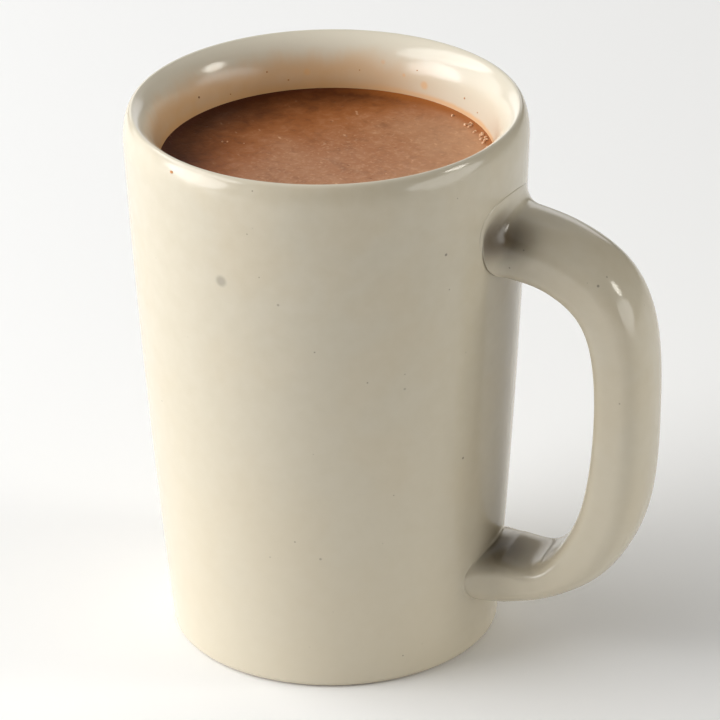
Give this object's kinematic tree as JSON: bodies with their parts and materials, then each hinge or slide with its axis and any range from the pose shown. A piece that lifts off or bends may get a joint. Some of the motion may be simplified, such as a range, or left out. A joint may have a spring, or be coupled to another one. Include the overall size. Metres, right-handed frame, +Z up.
{
  "type": "mug of champurrado",
  "caption": "Tall thick-walled ceramic mug with a strap handle, filled with thick chocolate drink to just below the lip.",
  "frame": {"origin": "centre of the mug's flat foot", "axes": "+Z up along the mug's axis, +X out through the handle, Y across the handle"},
  "size_m": [0.116, 0.0854, 0.12],
  "materials": {
    "mug_glaze": "glossy greige glaze",
    "champurrado": "thick milky chocolate, wet sheen"
  },
  "bodies": {
    "root": {"mug": "mug_glaze", "champurrado": "champurrado"}
  },
  "joints": []
}
